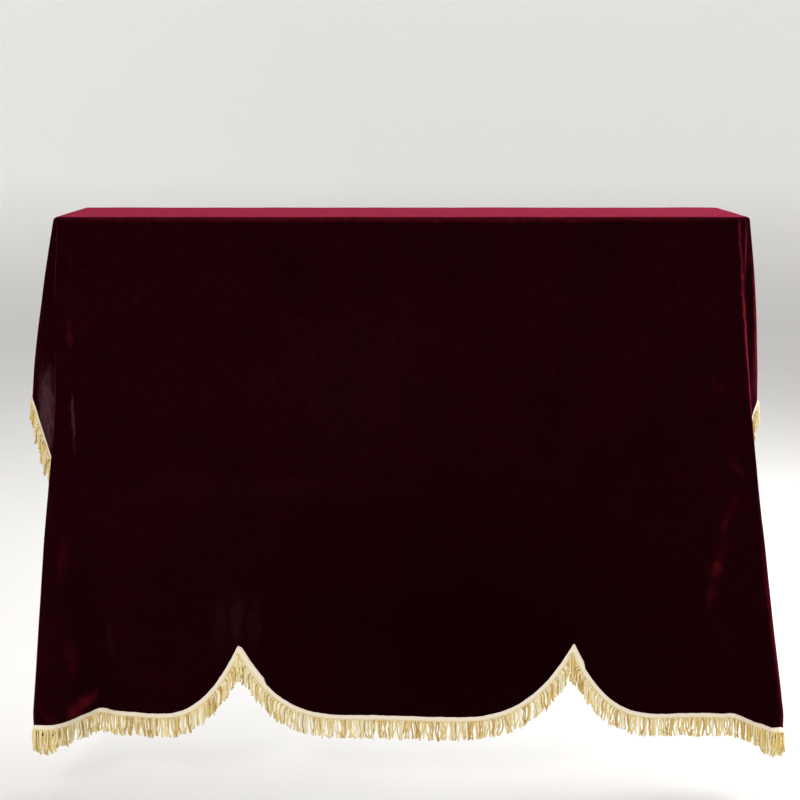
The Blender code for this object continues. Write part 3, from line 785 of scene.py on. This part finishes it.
class Paint:
    """A material under construction, with short ways to add and link its nodes."""

    def __init__(self, name, **settings):
        self.material = bpy.data.materials.new(name)
        self.material.use_nodes = True
        self.nodes, self.links = self.material.node_tree.nodes, self.material.node_tree.links
        self.shader = self.nodes["Principled BSDF"]
        for setting, value in settings.items():
            self.shader.inputs[setting.replace("_", " ")].default_value = value
        self.place = self.nodes.new("ShaderNodeTexCoord").outputs["Object"]

    def put(self, value, socket):
        """Sets a socket to a plain value, or links another node's output to it."""
        if isinstance(value, (int, float, tuple)):
            socket.default_value = value
        else:
            self.links.new(value, socket)

    def uv(self, layer):
        node = self.nodes.new("ShaderNodeUVMap")
        node.uv_map = layer
        return node.outputs["UV"]

    def noise(self, vector, scale, detail=3.0, rough=0.55, distortion=0.0, output="Fac"):
        node = self.nodes.new("ShaderNodeTexNoise")
        for name, value in (("Vector", vector), ("Scale", scale), ("Detail", detail),
                            ("Roughness", rough), ("Distortion", distortion)):
            self.put(value, node.inputs[name])
        return node.outputs[output]

    def ramp(self, fac, *stops):
        node = self.nodes.new("ShaderNodeValToRGB")
        elements = node.color_ramp.elements
        while len(elements) < len(stops):
            elements.new(0.5)
        for element, (position, colour) in zip(elements, stops):
            element.position = position
            element.color = (*colour, 1.0)
        self.put(fac, node.inputs["Fac"])
        return node.outputs["Color"]

    def calc(self, operation, *values):
        node = self.nodes.new("ShaderNodeMath")
        node.operation = operation
        for socket, value in zip(node.inputs, values):
            self.put(value, socket)
        return node.outputs[0]

    def weigh(self, *pairs):
        """The sum of (value, weight) pairs."""
        parts = [self.calc("MULTIPLY", value, weight) for value, weight in pairs]
        total = parts.pop()
        while parts:
            total = self.calc("ADD", parts.pop(), total)
        return total

    def vector_calc(self, operation, *values):
        node = self.nodes.new("ShaderNodeVectorMath")
        node.operation = operation
        for socket, value in zip(node.inputs, values):
            self.put(value, socket)
        return node.outputs["Vector"]

    def mix(self, factor, first, second):
        node = self.nodes.new("ShaderNodeMix")
        node.data_type = "RGBA"
        for socket, value in ((node.inputs["Factor"], factor), (node.inputs[6], first),
                              (node.inputs[7], second)):
            self.put(value, socket)
        return node.outputs[2]

    def mapped(self, vector, scale, location=(0.0, 0.0, 0.0), turn=0.0, kind="POINT"):
        node = self.nodes.new("ShaderNodeMapping")
        node.vector_type = kind
        node.inputs["Location"].default_value = location
        node.inputs["Rotation"].default_value = (0.0, 0.0, turn)
        node.inputs["Scale"].default_value = scale
        self.put(vector, node.inputs["Vector"])
        return node.outputs["Vector"]

    def ball(self, vector):
        """1 at the origin, falling to 0 at a distance of 1."""
        node = self.nodes.new("ShaderNodeTexGradient")
        node.gradient_type = "SPHERICAL"
        self.put(vector, node.inputs["Vector"])
        return node.outputs["Fac"]

    def finish(self, colour, height, strength, distance):
        """Links the colour and the bump to the shader."""
        self.put(colour, self.shader.inputs["Base Color"])
        bump = self.nodes.new("ShaderNodeBump")
        self.put(strength, bump.inputs["Strength"])
        self.put(distance, bump.inputs["Distance"])
        self.put(height, bump.inputs["Height"])
        self.put(bump.outputs["Normal"], self.shader.inputs["Normal"])
        return self.material


def add_painted_highlights(paint, flat):
    """How strongly the painted highlights show, for each shade: full in the middle, ragged at the rim.
    """
    ragged = paint.noise(flat, 38.0, 5.0, 0.6, output="Color")
    centred = paint.vector_calc("SUBTRACT", ragged, (0.5, 0.5, 0.5))
    marks = {}
    for _, start, end, half_width, shade, strength in PAINTED_HIGHLIGHTS:
        run = (end[0] - start[0], end[1] - start[1])
        middle = ((start[0] + end[0]) / 2, (start[1] + end[1]) / 2, 0.0)
        spot = paint.mapped(flat, (math.hypot(*run) / 2, half_width, 1.0), middle,
                            math.atan2(run[1], run[0]), "TEXTURE")
        torn = paint.vector_calc("MULTIPLY_ADD", centred, RAGGED, spot)
        spread = paint.nodes.new("ShaderNodeMapRange")
        spread.interpolation_type = "SMOOTHSTEP"
        spread.inputs["From Max"].default_value = FULL_FROM
        spread.inputs["To Max"].default_value = strength
        paint.put(paint.ball(torn), spread.inputs["Value"])
        mark = spread.outputs["Result"]
        marks[shade] = paint.calc("MAXIMUM", marks[shade], mark) if shade in marks else mark
    return marks


def velvet_material():
    paint = Paint("burgundy_velvet", Specular_IOR_Level=0.0, Sheen_Weight=0.46,
                  Sheen_Roughness=0.30, Sheen_Tint=(0.72, 0.060, 0.140, 1.0))
    flat = paint.uv("flat")
    patches = paint.noise(paint.place, 7.0, 6.0, 0.7, 0.2)
    speckle = paint.noise(paint.mapped(flat, (70.0, 45.0, 1.0)), 1.0, 4.0, 0.65)
    pile_colour = paint.ramp(paint.weigh((patches, 0.5), (speckle, 0.5)),
                             (0.30, (0.0075, 0.0005, 0.0013)), (0.50, (0.0112, 0.0007, 0.0020)),
                             (0.70, (0.0175, 0.0010, 0.0034)))
    # Painted shade: the lower middle of the front is darkened, where less light falls on it.
    low = paint.ball(paint.mapped(flat, (1.2, 1.8, 1.0), (-0.20, 2.0, 0.0)))
    colour = paint.mix(paint.calc("MULTIPLY", low, 0.9), pile_colour, (0.0050, 0.0003, 0.0005, 1.0))
    grain = paint.ramp(paint.noise(flat, 55.0, 6.0, 0.7, 0.6),
                       (0.36, (0.45, 0.45, 0.45)), (0.60, (1.0, 1.0, 1.0)))
    # The painted highlights and sheen, mixed into the colour in their shades.
    for kind, mark in add_painted_highlights(paint, flat).items():
        colour = paint.mix(paint.calc("MULTIPLY", mark, grain), colour, HIGHLIGHT_COLOURS[kind])
    rough = paint.calc("ADD", paint.calc("MULTIPLY", patches, 0.2), 0.72)
    paint.put(rough, paint.shader.inputs["Roughness"])
    pile = paint.noise(paint.place, 900.0, 2.0)
    nap = paint.noise(paint.mapped(flat, (60.0, 40.0, 1.0)), 1.0, 4.0, 0.6)
    crush = paint.noise(paint.place, 18.0, 4.0, 0.6, 0.3)
    height = paint.weigh((pile, 0.12), (nap, 0.35), (crush, 0.35))
    return paint.finish(colour, height, 0.5, 0.002)


def tape_material():
    paint = Paint("cream_header", Roughness=0.55, Sheen_Weight=0.35, Sheen_Roughness=0.5)
    split = paint.nodes.new("ShaderNodeSeparateXYZ")
    paint.put(paint.uv("tape"), split.inputs["Vector"])
    along, down = split.outputs["X"], split.outputs["Y"]
    blotch = paint.calc("SUBTRACT", paint.noise(paint.place, 55.0, 3.0), 0.5)
    colour = paint.ramp(paint.weigh((down, 1 / HEADER), (blotch, 0.35)),
                        (0.0, (0.97, 0.83, 0.69)), (0.45, (1.00, 0.89, 0.70)),
                        (0.80, (0.93, 0.77, 0.46)), (1.0, (0.88, 0.66, 0.29)))
    ribs = paint.calc("SINE", paint.calc("MULTIPLY", along, 2 * math.pi / TAPE_RIB))
    wefts = paint.calc("SINE", paint.calc("MULTIPLY", down, 2 * math.pi / TAPE_WEFT))
    off_line = paint.calc("ABSOLUTE", paint.calc("SUBTRACT", down, STITCH_DOWN))
    across = paint.calc("LESS_THAN", off_line, STITCH_HALF_WIDTH)
    turn = paint.calc("FRACT", paint.calc("DIVIDE", along, STITCH_PITCH))
    stitch = paint.calc("MULTIPLY", across, paint.calc("LESS_THAN", turn, STITCH_SHARE))
    weave = paint.calc("MULTIPLY", paint.calc("MULTIPLY", ribs, wefts), 0.25)
    return paint.finish(colour, paint.calc("SUBTRACT", weave, stitch), 0.6, 0.0004)


def gold_material():
    paint = Paint("gold_thread", Roughness=0.34, Specular_IOR_Level=0.7,
                  Specular_Tint=(1.0, 0.86, 0.58, 1.0))
    tone = paint.nodes.new("ShaderNodeAttribute")
    tone.attribute_name = "tone"
    streak = paint.noise(paint.mapped(paint.place, (900.0, 900.0, 260.0)), 1.0, 2.0)
    colour = paint.ramp(paint.weigh((tone.outputs["Fac"], 0.55), (streak, 0.45)),
                        (0.24, (0.59, 0.37, 0.085)), (0.42, (0.90, 0.69, 0.255)),
                        (0.58, (1.00, 0.87, 0.480)), (0.78, (1.00, 0.96, 0.770)))
    return paint.finish(colour, streak, 0.4, 0.0002)


def floor_material():
    paint = Paint("pale_floor", Roughness=0.7, Emission_Color=(1.0, 0.99, 0.98, 1.0),
                  Emission_Strength=0.20)
    split = paint.nodes.new("ShaderNodeSeparateXYZ")
    paint.put(paint.place, split.inputs["Vector"])
    rise = paint.calc("SUBTRACT", split.outputs["Z"], FLOOR_HEIGHT)
    cloud = paint.calc("MULTIPLY", paint.noise(paint.place, 1.5, 3.0), 0.1)
    colour = paint.ramp(paint.calc("ADD", rise, cloud),
                        (0.0, (0.50, 0.49, 0.48)), (1.0, (0.90, 0.90, 0.89)))
    paint.put(colour, paint.shader.inputs["Base Color"])
    return paint.material


# Stage, light and camera

FLOOR_RADIUS = 7.0
RIM_RADIUS = 2.5
RIM_HEIGHT = 3.0
RIM_STEPS = 12
FLOOR_SIDES = 96


def build_floor():
    """A round floor whose rim curves up into a pale wall on every side."""
    bm = bmesh.new()
    profile = [(FLOOR_RADIUS * share, 0.0) for share in (0.25, 0.5, 0.75, 1.0)]
    for i in range(1, RIM_STEPS + 1):
        angle = math.radians(90 * i / RIM_STEPS)
        profile.append((FLOOR_RADIUS + RIM_RADIUS * math.sin(angle),
                        RIM_RADIUS * (1 - math.cos(angle))))
    profile.append((FLOOR_RADIUS + RIM_RADIUS, RIM_RADIUS + RIM_HEIGHT))
    centre = bm.verts.new((0, 0, FLOOR_HEIGHT))
    turns = [2 * math.pi * k / FLOOR_SIDES for k in range(FLOOR_SIDES)]
    rings = [[bm.verts.new((radius * math.cos(turn), radius * math.sin(turn), FLOOR_HEIGHT + rise))
              for turn in turns] for radius, rise in profile]
    for k in range(FLOOR_SIDES):
        n = (k + 1) % FLOOR_SIDES
        bm.faces.new((centre, rings[0][k], rings[0][n]))
        for low, high in zip(rings, rings[1:]):
            bm.faces.new((low[k], high[k], high[n], low[n]))
    floor = finish_mesh("studio_floor", bm)
    floor.data.materials.append(floor_material())


def add_light(name, place, target, size, power):
    data = bpy.data.lights.new(name, "AREA")
    data.shape = "RECTANGLE"
    data.size, data.size_y = size
    data.energy = power
    obj = bpy.data.objects.new(name, data)
    obj.location = place
    obj.rotation_euler = (Vector(target) - Vector(place)).to_track_quat("-Z", "Y").to_euler()
    bpy.context.collection.objects.link(obj)


def build_studio():
    world = bpy.data.worlds.new("studio")
    world.use_nodes = True
    background = world.node_tree.nodes["Background"]
    background.inputs["Color"].default_value = (1.0, 0.99, 0.98, 1.0)
    background.inputs["Strength"].default_value = 0.44
    bpy.context.scene.world = world
    add_light("overhead", (0.0, 1.6, 2.6), (0.0, 0.0, -0.1), (3.0, 1.6), 132)
    add_light("right_rim", (3.2, 0.9, 0.7), (0.7, -0.25, -0.5), (1.2, 2.0), 165)
    add_light("front_key", (-1.5, -3.6, 1.7), (0.0, -0.4, -0.9), (0.7, 0.7), 47)
    bpy.context.scene.view_settings.view_transform = "Standard"


def build_camera():
    data = bpy.data.cameras.new("photo_camera")
    data.sensor_width = SENSOR
    data.lens = FOCAL_PIXELS * SENSOR / PHOTO_SIZE
    data.clip_end = 100.0
    camera = bpy.data.objects.new("photo_camera", data)
    camera.location = CAMERA_PLACE
    camera.rotation_euler = (math.radians(90 - CAMERA_DIP), 0.0, 0.0)
    bpy.context.collection.objects.link(camera)
    bpy.context.scene.camera = camera


# Everything together


def build():
    columns = ring_of_columns()
    cloth, edge = build_cloth(columns)
    cloth.data.materials.append(velvet_material())
    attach(cloth, "root")
    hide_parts("cover_cloth")
    tape, gold = tape_material(), gold_material()
    for seed, (side, stretch) in enumerate(split_edge(columns, edge).items()):
        hem = Hem(stretch)
        marks = [hem.mark_at(x) for x in POINTS] if side == "front" else []
        laps = [(mark, run, extra) for mark, (_, run, extra) in zip(marks, LAPS)]
        header = build_tape("header_" + side, hem, laps)
        header.data.materials.append(tape)
        strands = build_strands("strands_" + side, hem, seed + 11, marks)
        strands.data.materials.append(gold)
        for piece in (header, strands):
            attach(piece, "root")
            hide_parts("fringe_" + side)


build()
build_floor()
build_studio()
build_camera()
